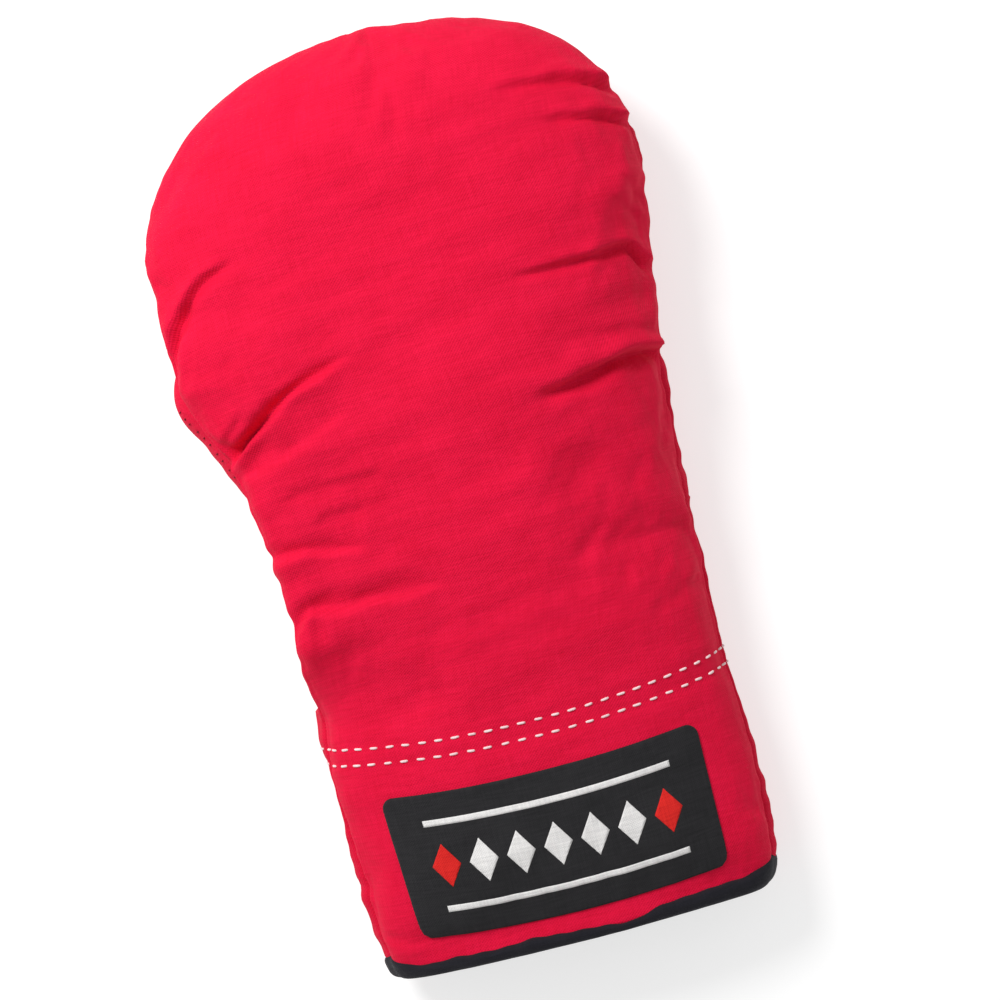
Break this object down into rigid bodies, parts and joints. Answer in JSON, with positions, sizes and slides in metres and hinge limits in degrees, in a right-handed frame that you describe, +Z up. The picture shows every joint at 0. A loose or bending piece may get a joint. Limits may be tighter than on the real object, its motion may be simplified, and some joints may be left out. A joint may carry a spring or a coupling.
{
  "type": "oven mitt",
  "caption": "Padded red oven mitt for the right hand, lying palm down, with its thumb tucked under the palm, a black lined cuff, white topstitching and a black label with a plain pattern.",
  "frame": {"origin": "on the table, under the middle of the mitt's box", "axes": "+X across the mitt to its little-finger side, +Y from the cuff to the fingertips, +Z up from the table through the back of the hand"},
  "size_m": [0.1772, 0.32, 0.064],
  "materials": {
    "red_cotton": "plain woven cotton, matt with a soft sheen, puckered along the seams",
    "red_cotton_palm": "the same plain woven cotton, in the shade of the palm",
    "wadding": "white polyester wadding, fluffy",
    "black_lining": "black brushed cotton lining, matt",
    "black_binding": "folded near-black cotton band, matt, slightly wavy",
    "white_thread": "thick off-white topstitching thread",
    "dark_red_thread": "dark red sewing thread",
    "label_black": "black printed woven label, matt",
    "label_white": "white print, slightly mottled by the weave",
    "label_red": "red print, slightly mottled by the weave"
  },
  "bodies": {
    "mitt": {"back_panel": "red_cotton", "palm_panel": "red_cotton_palm", "back_wadding": "wadding", "palm_wadding": "wadding", "back_lining": "black_lining", "palm_lining": "black_lining", "cuff_binding": "black_binding", "cuff_stitches_upper": "white_thread", "cuff_stitches_lower": "white_thread", "label_patch": "label_black", "label_stripes": "label_white", "label_lozenges": "label_red"},
    "thumb": {"thumb_outer_panel": "red_cotton_palm", "thumb_inner_panel": "red_cotton", "thumb_outer_wadding": "wadding", "thumb_inner_wadding": "wadding", "thumb_outer_lining": "black_lining", "thumb_inner_lining": "black_lining", "thumb_seam_stitches": "dark_red_thread"}
  },
  "joints": [
    {"name": "thumb_opening", "type": "hinge", "parent": "mitt", "child": "thumb", "pos_m": [-0.062, -0.042, 0.0158], "axis": [0, 0, 1], "range_deg": [0, 50]}
  ]
}
